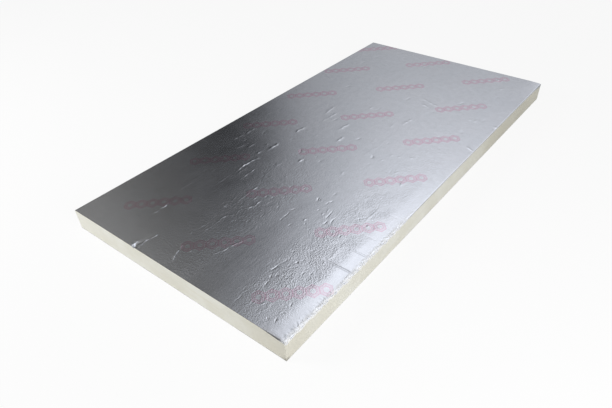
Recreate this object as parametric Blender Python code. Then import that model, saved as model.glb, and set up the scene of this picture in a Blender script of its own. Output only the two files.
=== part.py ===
"""Foil-faced rigid insulation board, lying flat.

A slab of rigid foam carries a foil facing on each broad side. The top facing is turned down
over the foam's long edges as a narrow lip. Along one stretch of the near long edge the foam's
arris is crushed into ripples, the top rolls off towards it, and the facing follows with a
ragged lip. A nick in the near short end dies out as a crease along the top.

Lengths are in metres. The origin is the centre of the underside, +X runs along the length,
+Y runs across the width from the near long edge to the far one, and +Z is up.
"""

import math

import bmesh
import bpy

# Board
BOARD_LENGTH = 2.400
BOARD_WIDTH = 1.200
BOARD_THICKNESS = 0.100

# Facings, and the bond line that keeps each one clear of the foam
FACING_THICKNESS = 0.0005
BOND_GAP = 0.0003

# Sound long edge: the roll of the arris and the lip turned down past it
ARRIS_SETBACK = 0.0035
ARRIS_DROP = 0.0035
ARRIS_STEPS = 5
LIP_LENGTH = 0.0015

# Crushed stretch of the near long edge, measured from the near end
CRUSHED_LENGTH = 0.950
CRUSH_FADE = 0.300
CRUSH_SETBACK = 0.009
CRUSH_DROP = 0.005
RIPPLE_PITCH = 0.065
RIPPLE_GROUP = 0.230
RIPPLE_SWAY = 0.016
STATIONS_PER_RIPPLE = 5

# Ragged lip of the crushed stretch
RAGGED_LIP = 0.006
RAGGED_PITCH = 0.043

# Longer lip at the far end of the near long edge
CORNER_LIP = 0.005
CORNER_LIP_LENGTH = 0.120

# Roll-off of the top towards the near long edge: over the crushed stretch, and at the far end
ROLL_OFF_DEPTH = 0.004
ROLL_OFF_WIDTH = 0.085
ROLL_OFF_LENGTH = 1.350
ROLL_OFF_FADE = 0.850
CORNER_ROLL_OFF_DEPTH = 0.0018
CORNER_ROLL_OFF_LENGTH = 0.450
ROLL_OFF_PITCH = 0.060
ROLL_OFF_STEPS = (0.33, 0.66, 1.0)

# Rebate that the turned-down lip presses into the foam's side
LIP_CLEARANCE = 0.0005
REBATE_RUN_OUT = 0.0015

# Nick in the near end, placed from the near long edge
NICK_FROM_EDGE = 0.792
NICK_HALF_WIDTH = 0.015
NICK_DEPTH = 0.005
NICK_REACH = 0.110
NICK_STEPS = (0.0, 0.08, 0.20, 0.40, 0.65, 1.0)

# Flat of the top between the rolled edges
SHOULDER_MARGIN = 0.012
SUPPORT_PITCH = 0.300
SMOOTH_ANGLE = math.radians(28)

# Finishes: linear colour, roughness, metallic
FOAM_FINISH = ((0.72, 0.70, 0.58, 1.0), 0.90, 0.0)
FOIL_FINISH = ((0.62, 0.64, 0.67, 1.0), 0.30, 1.0)

NEAR_END = -BOARD_LENGTH / 2
FAR_END = BOARD_LENGTH / 2
CRUSHED_END = NEAR_END + CRUSHED_LENGTH
CORNER_LIP_START = FAR_END - CORNER_LIP_LENGTH
CORNER_ROLL_OFF_START = FAR_END - CORNER_ROLL_OFF_LENGTH
NEAR_SIDE = -1
FAR_SIDE = 1
NICK_Y = NICK_FROM_EDGE - BOARD_WIDTH / 2
SHOULDER = ARRIS_SETBACK + CRUSH_SETBACK + SHOULDER_MARGIN

# Depths below the outer face of the top facing
FACING_OUTSIDE = 0.0
FACING_INSIDE = FACING_THICKNESS
FOAM_SKIN = FACING_THICKNESS + BOND_GAP


def clear_scene():
    for scene_object in list(bpy.data.objects):
        bpy.data.objects.remove(scene_object, do_unlink=True)


def make_material(name, finish):
    colour, roughness, metallic = finish
    material = bpy.data.materials.new(name)
    material.use_nodes = True
    shader = material.node_tree.nodes["Principled BSDF"]
    shader.inputs["Base Color"].default_value = colour
    shader.inputs["Roughness"].default_value = roughness
    shader.inputs["Metallic"].default_value = metallic
    return material


def make_object(name, bm, material):
    bmesh.ops.recalc_face_normals(bm, faces=bm.faces)
    mesh = bpy.data.meshes.new(name)
    bm.to_mesh(mesh)
    bm.free()
    mesh.shade_smooth()
    mesh.set_sharp_from_angle(angle=SMOOTH_ANGLE)
    mesh.materials.append(material)
    piece = bpy.data.objects.new(name, mesh)
    bpy.context.scene.collection.objects.link(piece)
    return piece


# Stations along the length

def span(start, end, pitch):
    """Evenly spaced stations from start to end, no further apart than pitch."""
    steps = max(1, math.ceil((end - start) / pitch))
    return [start + (end - start) * step / steps for step in range(steps + 1)]


def edge_stations(side):
    """Close together on the crushed stretch, and wide apart where the edge is straight."""
    if side == FAR_SIDE:
        return span(NEAR_END, FAR_END, SUPPORT_PITCH)
    crushed = span(NEAR_END, CRUSHED_END, RIPPLE_PITCH / STATIONS_PER_RIPPLE)
    return crushed + span(CRUSHED_END, FAR_END, ROLL_OFF_PITCH)[1:]


def nick_stations():
    crease = [NEAR_END + NICK_REACH * step for step in NICK_STEPS]
    return crease + span(crease[-1], FAR_END, SUPPORT_PITCH)[1:]


# Form of the long edges, the roll-off and the nick

def ease(share):
    """Smooth step from 0 to 1, held at each end."""
    share = min(max(share, 0.0), 1.0)
    return share * share * (3.0 - 2.0 * share)


def wave(run, pitch, lag=0.0):
    """A ripple from 0 to 1 whose crests crowd together and spread apart in groups."""
    sway = RIPPLE_SWAY * math.sin(math.tau * run / RIPPLE_GROUP)
    return 0.5 - 0.5 * math.cos(math.tau * (run + sway) / pitch + lag)


def crush(x):
    """How strongly the near long edge is crushed: 1 at the near end, 0 past the stretch."""
    return ease((CRUSHED_END - x) / CRUSH_FADE)


def edge_form(side, x):
    """Set-back and drop of the arris and length of the lip, at one station."""
    if side == FAR_SIDE:
        return ARRIS_SETBACK, ARRIS_DROP, LIP_LENGTH
    run = x - NEAR_END
    depth = crush(x) * wave(run, RIPPLE_PITCH)
    ragged = crush(x) * wave(run, RAGGED_PITCH, math.pi / 2)
    corner = ease(2.0 * (x - CORNER_LIP_START) / CORNER_LIP_LENGTH)
    setback = ARRIS_SETBACK + CRUSH_SETBACK * depth
    drop = ARRIS_DROP + CRUSH_DROP * depth
    return setback, drop, LIP_LENGTH + RAGGED_LIP * ragged + CORNER_LIP * corner


def roll_off(x, y):
    """Depth by which the top falls away towards the near long edge."""
    share = max(0.0, 1.0 - (y + BOARD_WIDTH / 2) / ROLL_OFF_WIDTH)
    crushed = ROLL_OFF_DEPTH * ease((NEAR_END + ROLL_OFF_LENGTH - x) / ROLL_OFF_FADE)
    corner = CORNER_ROLL_OFF_DEPTH * ease((x - CORNER_ROLL_OFF_START) / CORNER_ROLL_OFF_LENGTH)
    return (crushed + corner) * share * share


def nick_dip(x, y):
    """Depth of the V-shaped nick, which shoals along X as the crease runs out."""
    across = max(0.0, 1.0 - abs(y - NICK_Y) / NICK_HALF_WIDTH)
    along = max(0.0, 1.0 - (x - NEAR_END) / NICK_REACH)
    return NICK_DEPTH * across * along * along


# Rows of points that run the length of the board. Each takes the vertices' depth below the
# outer face of the top facing, so that the facing and the foam under it share one form.

def arris_row(side, turn, depth):
    """One line of the rolled arris: turn is 0 where the roll leaves the top and 1 at the side."""
    angle = turn * math.pi / 2
    row = []
    for x in edge_stations(side):
        setback, drop, _lip = edge_form(side, x)
        normal_out = math.sin(angle) / setback
        normal_up = math.cos(angle) / drop
        size = math.hypot(normal_out, normal_up)
        outer_y = side * (BOARD_WIDTH / 2 - setback + setback * math.sin(angle))
        outer_z = BOARD_THICKNESS - drop + drop * math.cos(angle) - roll_off(x, outer_y)
        y = outer_y - side * depth * normal_out / size
        row.append((x, y, outer_z - depth * normal_up / size))
    return row


def side_row(side, depth, below_lip):
    """A line down the long side, at or below the edge of the lip."""
    row = []
    for x in edge_stations(side):
        _setback, drop, lip = edge_form(side, x)
        lip_end = BOARD_THICKNESS - roll_off(x, side * BOARD_WIDTH / 2) - drop - lip
        row.append((x, side * (BOARD_WIDTH / 2 - depth), lip_end - below_lip))
    return row


def top_row(stations, y, depth):
    """A line on the broad top, which the nick may dent."""
    return [(x, y, BOARD_THICKNESS - depth - roll_off(x, y) - nick_dip(x, y)) for x in stations]


def roll_off_rows(depth):
    """The rest of the roll-off, from the near shoulder in to where the top is flat."""
    stations = span(NEAR_END, FAR_END, ROLL_OFF_PITCH)
    insets = [SHOULDER + (ROLL_OFF_WIDTH - SHOULDER) * step for step in ROLL_OFF_STEPS]
    return [top_row(stations, inset - BOARD_WIDTH / 2, depth) for inset in insets]


def rolled_edge(side, depth):
    """The arris from the side face up to the shoulder, where the flat begins."""
    turns = [1.0 - step / ARRIS_STEPS for step in range(ARRIS_STEPS + 1)]
    rows = [arris_row(side, turn, depth) for turn in turns]
    rows.append(top_row(edge_stations(side), side * (BOARD_WIDTH / 2 - SHOULDER), depth))
    return rows


def covered_rows(depth):
    """Everything between the two sides that the top facing covers, from near to far."""
    nick_lines = [NICK_Y + NICK_HALF_WIDTH * offset for offset in (-1, 0, 1)]
    flat = roll_off_rows(depth) + [top_row(nick_stations(), y, depth) for y in nick_lines]
    return rolled_edge(NEAR_SIDE, depth) + flat + rolled_edge(FAR_SIDE, depth)[::-1]


# Surfaces between the rows

def add_rows(bm, rows):
    return [[bm.verts.new(point) for point in row] for row in rows]


def stitch(bm, first, second):
    """Triangles between two rows, stepping along X on whichever row is behind."""
    i = 0
    j = 0
    while i < len(first) - 1 or j < len(second) - 1:
        first_ended = i == len(first) - 1
        second_ended = j == len(second) - 1
        if second_ended or (not first_ended and first[i + 1].co.x <= second[j + 1].co.x):
            bm.faces.new((first[i], first[i + 1], second[j]))
            i += 1
        else:
            bm.faces.new((first[i], second[j + 1], second[j]))
            j += 1


def stitch_all(bm, rows):
    for first, second in zip(rows, rows[1:]):
        stitch(bm, first, second)


# Pieces

def build_foam_core(material):
    """The foam: a closed loop of rows round its section, with a cap on each short end."""
    floor = FACING_THICKNESS + BOND_GAP
    near = [
        [(x, -BOARD_WIDTH / 2, floor) for x in edge_stations(FAR_SIDE)],
        side_row(NEAR_SIDE, 0.0, LIP_CLEARANCE + REBATE_RUN_OUT),
        side_row(NEAR_SIDE, FOAM_SKIN, LIP_CLEARANCE),
    ]
    far = [
        side_row(FAR_SIDE, FOAM_SKIN, LIP_CLEARANCE),
        side_row(FAR_SIDE, 0.0, LIP_CLEARANCE + REBATE_RUN_OUT),
        [(x, BOARD_WIDTH / 2, floor) for x in edge_stations(FAR_SIDE)],
    ]
    bm = bmesh.new()
    rows = add_rows(bm, near + covered_rows(FOAM_SKIN) + far)
    stitch_all(bm, rows)
    stitch(bm, rows[-1], rows[0])
    bm.faces.new([row[0] for row in rows])
    bm.faces.new([row[-1] for row in rows])
    return make_object("foam_core", bm, material)


def build_top_facing(material):
    """The foil sheet on top: an outer and an inner face, closed round their four edges."""
    bm = bmesh.new()
    faces = []
    for depth in (FACING_OUTSIDE, FACING_INSIDE):
        lips = [side_row(side, depth, 0.0) for side in (NEAR_SIDE, FAR_SIDE)]
        faces.append(add_rows(bm, [lips[0]] + covered_rows(depth) + [lips[1]]))
    outside, inside = faces
    stitch_all(bm, outside)
    stitch_all(bm, inside)
    stitch(bm, outside[0], inside[0])
    stitch(bm, outside[-1], inside[-1])
    for end in (0, -1):
        for row in range(len(outside) - 1):
            bm.faces.new((
                outside[row][end],
                outside[row + 1][end],
                inside[row + 1][end],
                inside[row][end],
            ))
    return make_object("top_foil_facing", bm, material)


def build_bottom_facing(material):
    """The foil sheet underneath, sawn flush with the foam on all four sides."""
    bm = bmesh.new()
    bmesh.ops.create_cube(bm, size=1.0)
    bmesh.ops.scale(bm, vec=(BOARD_LENGTH, BOARD_WIDTH, FACING_THICKNESS), verts=bm.verts)
    bmesh.ops.translate(bm, vec=(0.0, 0.0, FACING_THICKNESS / 2), verts=bm.verts)
    return make_object("bottom_foil_facing", bm, material)


def main():
    clear_scene()
    build_foam_core(make_material("foam", FOAM_FINISH))
    build_top_facing(make_material("top_foil", FOIL_FINISH))
    build_bottom_facing(make_material("bottom_foil", FOIL_FINISH))


main()
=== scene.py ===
"""Looks of the foil-faced insulation board: crumpled satin foil over cream rigid foam.

Lengths are in metres and the frame is the part's own: the origin is the centre of the
underside, +X runs along the board, +Y across it and +Z up. "Near" is the -X end and the -Y
long edge, which meet at the corner closest to the camera. Places on the foil are given as
(run, edge): the distances from the near end and from the near long edge.
"""

import functools
import math

import bpy
import numpy as np
from mathutils import Matrix, Vector


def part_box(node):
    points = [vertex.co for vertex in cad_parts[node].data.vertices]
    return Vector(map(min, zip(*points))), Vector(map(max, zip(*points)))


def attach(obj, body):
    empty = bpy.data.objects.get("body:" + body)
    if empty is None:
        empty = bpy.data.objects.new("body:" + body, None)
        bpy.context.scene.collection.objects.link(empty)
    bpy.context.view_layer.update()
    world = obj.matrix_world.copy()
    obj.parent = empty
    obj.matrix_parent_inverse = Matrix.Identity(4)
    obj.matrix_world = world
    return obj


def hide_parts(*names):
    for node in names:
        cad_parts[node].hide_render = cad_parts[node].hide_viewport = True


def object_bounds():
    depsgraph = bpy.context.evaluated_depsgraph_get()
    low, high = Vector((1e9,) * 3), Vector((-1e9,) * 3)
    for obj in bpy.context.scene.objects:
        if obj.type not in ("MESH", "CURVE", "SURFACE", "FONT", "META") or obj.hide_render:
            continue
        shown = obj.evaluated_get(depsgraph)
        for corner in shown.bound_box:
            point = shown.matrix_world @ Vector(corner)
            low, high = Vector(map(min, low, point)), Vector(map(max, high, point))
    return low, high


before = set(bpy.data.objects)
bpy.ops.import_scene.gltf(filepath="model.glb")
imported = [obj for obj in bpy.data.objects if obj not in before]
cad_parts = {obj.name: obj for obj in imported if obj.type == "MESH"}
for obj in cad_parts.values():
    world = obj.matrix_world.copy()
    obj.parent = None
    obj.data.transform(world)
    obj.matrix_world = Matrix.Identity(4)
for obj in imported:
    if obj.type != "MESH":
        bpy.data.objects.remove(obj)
CAD_LOW, CAD_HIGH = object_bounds()

# Board, from the frame
NEAR_END = CAD_LOW.x
NEAR_EDGE = CAD_LOW.y
TOP = CAD_HIGH.z
LENGTH = CAD_HIGH.x - CAD_LOW.x
WIDTH = CAD_HIGH.y - CAD_LOW.y

# A noise is given by its cell along the board and across it, its seed and how many layers

# Long edges: as the solids have them, but for the longer lip at the far corner
ARRIS_SETBACK = 0.0035
ARRIS_DROP = 0.0035
LIP_LENGTH = 0.0015
CRUSHED_LENGTH = 0.950
CRUSH_FADE = 0.300
CRUSH_SETBACK = 0.009
CRUSH_DROP = 0.005
RIPPLE_PITCH = 0.065
RIPPLE_GROUP = 0.230
RIPPLE_SWAY = 0.016
RAGGED_LIP = 0.006
RAGGED_PITCH = 0.043
CORNER_LIP = 0.014
CORNER_LIP_LENGTH = 0.120
CORNER_LIP_CURVE = 1.5
SHOULDER = 0.0240

# Tears along the ragged lip, their share on the sound edge, and the shortest lip that is left
TORN_LIP = 0.0022
TORN_NOISE = (0.013, 1.0, 71, 2)
SOUND_TORN_SHARE = 0.15
SHORTEST_LIP = 0.0007

# Roll-off of the top towards the near long edge: as in the solids, but deeper at the far end
ROLL_OFF_DEPTH = 0.004
ROLL_OFF_WIDTH = 0.085
ROLL_OFF_LENGTH = 1.350
ROLL_OFF_FADE = 0.850
CORNER_ROLL_OFF_DEPTH = 0.0034
CORNER_ROLL_OFF_LENGTH = 0.450

# Nick in the near end, as the solids have it
NICK_FROM_EDGE = 0.792
NICK_HALF_WIDTH = 0.015
NICK_DEPTH = 0.005
NICK_REACH = 0.110

# Creases of the foil: height (below 0 for a valley), half width, then the (run, edge) points
CREASES = (
    (0.0004, 0.0018, (0.211, 0.631), (0.260, 0.633), (0.304, 0.632)),
    (0.0009, 0.0017, (0.304, 0.632), (0.336, 0.637), (0.359, 0.634), (0.375, 0.628)),
    (0.0004, 0.0017, (0.375, 0.628), (0.396, 0.605), (0.424, 0.613), (0.446, 0.605)),
    (0.0009, 0.0017, (0.446, 0.605), (0.486, 0.578), (0.509, 0.585), (0.530, 0.576)),
    (0.0004, 0.0017, (0.366, 0.625), (0.384, 0.592), (0.412, 0.571)),
    (0.0004, 0.0017, (0.412, 0.641), (0.427, 0.648), (0.440, 0.640)),
    (0.0004, 0.0017, (0.430, 0.628), (0.452, 0.622), (0.470, 0.603)),
    (0.0005, 0.0017, (0.165, 0.670), (0.225, 0.671), (0.297, 0.657)),
    (0.0004, 0.0017, (0.392, 0.688), (0.432, 0.689)),
    (0.0006, 0.0018, (0.410, 0.708), (0.430, 0.709)),
    (0.0004, 0.0017, (0.460, 0.662), (0.512, 0.666), (0.556, 0.669)),
    (0.0009, 0.0017, (0.556, 0.669), (0.597, 0.666)),
    (-0.0007, 0.0018, (0.188, 0.235), (0.200, 0.238), (0.215, 0.241)),
    (-0.0011, 0.0018, (0.224, 0.258), (0.245, 0.256), (0.270, 0.254)),
    (-0.0007, 0.0018, (0.270, 0.254), (0.293, 0.251), (0.315, 0.245)),
    (-0.0006, 0.0018, (0.150, 0.228), (0.170, 0.233), (0.188, 0.230)),
    (-0.0006, 0.0018, (0.083, 0.274), (0.100, 0.277)),
    (-0.0003, 0.0018, (0.025, 0.259), (0.070, 0.262), (0.115, 0.260)),
    (-0.0009, 0.0018, (0.045, 0.083), (0.056, 0.088), (0.067, 0.092)),
    (-0.0011, 0.0018, (0.133, 0.083), (0.140, 0.091), (0.151, 0.094)),
    (0.0008, 0.0018, (0.108, 0.022), (0.118, 0.030)),
    (-0.0010, 0.0018, (0.278, 0.148), (0.290, 0.151), (0.301, 0.145)),
    (-0.0006, 0.0018, (0.310, 0.153), (0.322, 0.149)),
    (-0.0010, 0.0022, (0.668, 0.383), (0.682, 0.386), (0.694, 0.391)),
    (-0.0009, 0.0020, (0.676, 0.337), (0.700, 0.332)),
    (-0.0004, 0.0018, (0.470, 0.426), (0.510, 0.429), (0.545, 0.432)),
    (-0.0005, 0.0018, (0.550, 0.437), (0.574, 0.425)),
    (-0.0006, 0.0018, (0.548, 0.284), (0.567, 0.289)),
    (-0.0007, 0.0018, (0.550, 0.266), (0.588, 0.262)),
    (-0.0007, 0.0018, (0.580, 0.242), (0.605, 0.250), (0.635, 0.246)),
    (-0.0007, 0.0018, (0.600, 0.275), (0.625, 0.279), (0.655, 0.286)),
    (-0.0008, 0.0018, (0.530, 0.162), (0.555, 0.166)),
    (-0.0008, 0.0018, (0.478, 0.146), (0.500, 0.151)),
    (-0.0005, 0.0018, (0.455, 0.142), (0.480, 0.140)),
    (-0.0006, 0.0018, (0.656, 0.152), (0.675, 0.167), (0.696, 0.145)),
    (-0.0007, 0.0020, (0.622, 0.019), (0.640, 0.030)),
    (0.0004, 0.0024, (0.340, 0.124), (0.440, 0.121), (0.530, 0.124)),
    (0.0004, 0.0024, (0.665, 0.134), (0.800, 0.131)),
    (0.0005, 0.0018, (0.196, 0.489), (0.263, 0.470), (0.304, 0.460), (0.328, 0.441)),
    (0.0004, 0.0018, (0.152, 0.505), (0.222, 0.480)),
    (0.0010, 0.0017, (0.643, 0.839), (0.740, 0.841), (0.785, 0.834)),
    (0.0010, 0.0018, (0.807, 0.863), (0.834, 0.861)),
    (0.0009, 0.0018, (0.863, 0.843), (0.947, 0.840)),
    (0.0005, 0.0018, (0.512, 0.841), (0.543, 0.836), (0.582, 0.839), (0.605, 0.820)),
    (0.0004, 0.0018, (0.617, 0.818), (0.685, 0.818)),
    (0.0007, 0.0018, (0.374, 0.942), (0.430, 0.938), (0.478, 0.939)),
    (0.0006, 0.0018, (0.287, 0.839), (0.373, 0.839)),
    (0.0006, 0.0018, (0.842, 1.056), (0.894, 1.050), (0.986, 1.044)),
    (0.0006, 0.0018, (0.773, 0.984), (0.832, 0.978)),
    (0.0006, 0.0018, (0.823, 0.944), (0.871, 0.938)),
    (0.0005, 0.0018, (0.590, 0.777), (0.705, 0.776)),
    (0.0005, 0.0018, (0.747, 1.185), (0.742, 1.151)),
    (0.0013, 0.0018, (0.091, 0.939), (0.144, 0.940)),
    (0.0016, 0.0018, (0.185, 0.897), (0.265, 0.900), (0.284, 0.910)),
    (0.0016, 0.0018, (0.004, 0.792), (0.030, 0.775), (0.052, 0.782), (0.114, 0.770)),
    (0.0008, 0.0018, (0.039, 0.602), (0.078, 0.624), (0.120, 0.637), (0.131, 0.634)),
    (0.0004, 0.0018, (0.104, 0.589), (0.134, 0.582)),
    (0.0009, 0.0018, (1.087, 0.839), (1.161, 0.837)),
    (0.0009, 0.0018, (1.233, 0.671), (1.320, 0.662)),
    (0.0009, 0.0018, (1.133, 0.606), (1.188, 0.607)),
    (0.0012, 0.0020, (1.523, 0.670), (1.565, 0.666)),
    (0.0005, 0.0020, (1.333, 0.839), (1.441, 0.841)),
    (0.0005, 0.0020, (1.262, 0.799), (1.384, 0.786)),
    (0.0009, 0.0020, (1.480, 0.426), (1.563, 0.412)),
    (0.0011, 0.0018, (1.471, 0.049), (1.445, 0.006)),
    (0.0010, 0.0020, (0.870, 0.650), (0.902, 0.644)),
    (0.00008, 0.0022, (1.092, 0.425), (1.243, 0.410), (1.421, 0.404), (1.709, 0.387)),
    (0.0005, 0.0020, (1.775, 1.170), (1.731, 1.074)),
    (0.0006, 0.0020, (1.810, 0.479), (1.778, 0.373)),
    (0.0007, 0.0020, (1.754, 0.449), (1.730, 0.398)),
)
CREASE_GAIN = 0.75
CREASE_TAPER = 0.014
CREASE_END_SHARE = 0.25
CREASE_SWAY = 0.0035
CREASE_SWAY_NOISE = (0.021, 0.021, 301)
CREASE_JITTER = 0.0012
JITTER_NOISE = (0.007, 0.007, 303)
BREAK_LEVEL = 0.62
BREAK_DEPTH = 0.55
BREAK_NOISE = (0.015, 0.011, 304)
CREASE_REACH = 0.034
FAR_BREADTH = 1.1
FAR_FROM = 0.40
FAR_FADE = 0.60

# Soft straight folds across the near edge: height, half width, run, first and last edge
FOLDS = (
    (0.00125, 0.0042, 0.394, 0.004, 0.150),
    (0.00085, 0.0042, 0.502, 0.020, 0.110),
    (0.00045, 0.0045, 0.604, 0.040, 0.120),
    (0.00030, 0.0045, 0.775, 0.040, 0.140),
)
FOLD_START_FADE = 0.010
FOLD_FADE = 0.040
FOLD_SWAY = 0.0015
FOLD_SWAY_NOISE = (1.0, 0.030, 321)

# Wrinkles scattered along the board: first and last run, first and last edge, how many, and
# about how long and how deep
WRINKLE_FIELDS = (
    (0.030, 0.460, 0.085, 0.300, 30, 0.012, 0.0010),
    (0.440, 0.760, 0.110, 0.380, 28, 0.013, 0.0010),
    (0.260, 0.640, 0.490, 0.690, 12, 0.020, 0.0005),
    (0.250, 1.050, 0.680, 1.130, 14, 0.028, 0.0005),
    (0.850, 2.300, 0.050, 1.150, 46, 0.034, 0.0006),
    (0.480, 0.660, 0.080, 0.190, 12, 0.010, 0.0012),
    (0.360, 0.740, 0.470, 0.720, 30, 0.009, 0.0011),
)
WRINKLE_SEED = 7
WRINKLE_HALF_WIDTH = 0.0017
WRINKLE_HALF_LENGTHS = (0.3, 0.8)
WRINKLE_DEPTHS = (0.5, 1.2)
WRINKLE_SIGNS = (-1.0, -1.0, 1.0)
WRINKLE_SLANT = 0.35
WRINKLE_BOW = 0.25

# Blisters of the foil, and dents below 0: run, edge, radius, height
BLISTERS = (
    (0.319, 0.207, 0.0055, -0.0014),
    (0.341, 0.195, 0.0045, -0.0010),
    (0.221, 0.225, 0.0040, -0.0008),
    (0.232, 0.203, 0.0045, -0.0009),
    (0.233, 0.186, 0.0045, -0.0010),
    (0.301, 0.127, 0.0050, -0.0011),
    (0.254, 0.091, 0.0050, -0.0010),
    (0.096, 0.090, 0.0045, -0.0010),
    (0.046, 0.117, 0.0045, -0.0009),
    (0.625, 0.338, 0.0050, -0.0009),
    (0.519, 0.328, 0.0045, -0.0008),
    (0.044, 0.219, 0.0045, 0.0006),
    (0.520, 0.820, 0.0050, 0.0007),
    (0.734, 0.008, 0.0050, -0.0010),
    (0.898, 0.635, 0.0050, -0.0010),
    (0.959, 0.604, 0.0050, -0.0010),
    (1.060, 0.216, 0.0070, 0.0013),
    (1.074, 0.211, 0.0050, 0.0010),
    (1.218, 0.218, 0.0080, 0.0013),
    (1.189, 0.274, 0.0060, 0.0010),
    (1.118, 0.326, 0.0060, 0.0010),
    (1.374, 0.152, 0.0060, -0.0009),
    (1.730, 1.032, 0.0060, 0.0007),
    (1.738, 0.155, 0.0080, 0.0010),
    (1.735, 0.010, 0.0090, 0.0030),
    (1.794, 0.468, 0.0060, -0.0009),
)
BLISTER_GAIN = 0.5
BLISTER_STEEPNESS = 2.4
BLISTER_STRETCH = 0.7
BLISTER_SWAY = 0.0022
BLISTER_SWAY_NOISE = (0.006, 0.006, 311)

# Swells of the whole sheet
SWELL_HEIGHT = 0.00006
SWELL_NOISE = (0.25, 0.09, 31)

# Crumples of the crushed edge, on the arris and the lip
CRUMPLE_HEIGHT = 0.0008
CRUMPLE_LEVEL = 0.35
CRUMPLE_MIDDLE = 0.004
CRUMPLE_HALF_WIDTH = 0.008
CRUMPLE_FADE = 0.020
CRUMPLE_SLANT = 0.17
CRUMPLE_NOISE = (0.0085, 0.0075, 51, 2)

# Crumples at the nick
NICK_CRUMPLE_HEIGHT = 0.0015
NICK_CRUMPLE_RUN = 0.012
NICK_CRUMPLE_REACH = (0.030, 0.026)
NICK_CRUMPLE_FADE = 1.3
NICK_CRUMPLE_NOISE = (0.010, 0.007, 41, 2)

# Sheet mesh: square cells of the unrolled foil, in whole units
UNIT = 0.0015
LARGEST_CELL = 16
LIP_SPAN = 0.012
ARC_SPAN = 0.012
FOIL_THICKNESS = 0.0004
RELIEF_ROOM = 0.0008
LIP_INSET = 0.0002
BACKING_INSET = 0.0010
BACKING_FADE = 0.006
BACKING_START = 0.2
FINE_CELL = UNIT * 1.02
FAR_FINE_CELL = UNIT * 2.04
PLAIN_CELL = 0.0245
EDGE_CELL = 0.0032
END_CELL = EDGE_CELL * 1.5
CRUMPLED_CELL = 0.0024
CELL_GROWTH = 0.9
FAR_RUN = 0.750
EDGE_GROWTH = 0.35
BACKING_COARSENESS = 4
EDGE_BAND = 0.0125
CRUMPLED_BAND = 0.018
CREASE_BAND = 0.0014
FOLD_BAND = 1.5
NICK_BAND = 0.030
FOIL_SHARP_ANGLE = 50

# Near corner of the foil, which stands a little past the foam
OVERHANG = 0.0012
OVERHANG_WIDTH = 0.125
OVERHANG_PLATEAU = 1.3
OVERHANG_SAG = 0.0024

# Foam slab
FOAM_PITCH = 0.0040
FOAM_ROWS = 18
FOAM_INSET = 0.0002
FOAM_GAP = 0.0003
FOAM_SUNK = 0.0014
REBATE_INSET = 0.0016
REBATE_RISE = 0.0030
FOAM_INNER_RING = 0.016
FOAM_INNER_HEIGHT = 0.095
FOAM_ROUGHNESS_HEIGHT = 0.00030
FOAM_ROUGHNESS_LEVEL = 0.6
FOAM_ROUGHNESS_CELLS = (0.040, 0.020)
FOAM_SAW_HEIGHT = 0.00012
FOAM_SAW_CELLS = (0.35, 0.006)
FOAM_SAW_SEED_STEP = 10
FOAM_SIDE_SEEDS = (61, 66)
FOAM_END_SEEDS = (81, 86)
FOAM_TUCK = 0.0002
FOAM_SUNK_FROM = 0.0005
FOAM_SHARP_ANGLE = 40

# Camera, fitted to the board's corners in the photograph
FRAME_WIDTH = 612
CAMERA_PLACE = (-1.9310, -1.3248, 1.4433)
CAMERA_AZIMUTH = -51.416
CAMERA_ELEVATION = 41.152
CAMERA_ROLL = -1.631
CAMERA_FOCAL_PIXELS = 508.4
CAMERA_SHIFT_PIXELS = (-9.85, 34.45)
SENSOR_WIDTH = 36.0

NOISE_CELLS = 512


def smooth(share):
    share = np.clip(share, 0.0, 1.0)
    return share * share * (3.0 - 2.0 * share)


@functools.cache
def noise_table(seed):
    return np.random.default_rng(seed).uniform(-1.0, 1.0, (NOISE_CELLS, NOISE_CELLS))


def cell_noise(u, v, seed):
    """Smooth noise from -1 to 1, with one cell to a unit; it repeats after NOISE_CELLS."""
    u, v = np.broadcast_arrays(u, v)
    table = noise_table(seed)
    cell_u, cell_v = np.floor(u).astype(int), np.floor(v).astype(int)
    part_u, part_v = smooth(u - cell_u), smooth(v - cell_v)
    i, j = cell_u % NOISE_CELLS, cell_v % NOISE_CELLS
    next_i, next_j = (i + 1) % NOISE_CELLS, (j + 1) % NOISE_CELLS
    low = table[i, j] * (1 - part_u) + table[next_i, j] * part_u
    high = table[i, next_j] * (1 - part_u) + table[next_i, next_j] * part_u
    return low * (1 - part_v) + high * part_v


def noise(along, across, cell_along, cell_across, seed, layers=1):
    """Smooth noise with the given cells; each further layer is half as large and as strong."""
    u, v = along / cell_along, across / cell_across
    total = 0.0
    for layer in range(layers):
        total = total + cell_noise(u * 2 ** layer, v * 2 ** layer, seed + layer) / 2 ** layer
    return total


def swayed(run, edge, sway, cell_run, cell_edge, seed):
    """A place moved by noise, by as much as the sway each way."""
    return (run + sway * noise(run, edge, cell_run, cell_edge, seed),
            edge + sway * noise(run, edge, cell_run, cell_edge, seed + 1))


def bell(share, steepness=1.0):
    return np.exp(-steepness * share ** 2)


# Form of the section, which the foil and the foam share

def wave(run, pitch, lag=0.0):
    sway = RIPPLE_SWAY * np.sin(math.tau * run / RIPPLE_GROUP)
    return 0.5 - 0.5 * np.cos(math.tau * (run + sway) / pitch + lag)


def crush(run):
    return smooth((CRUSHED_LENGTH - run) / CRUSH_FADE)


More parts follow.
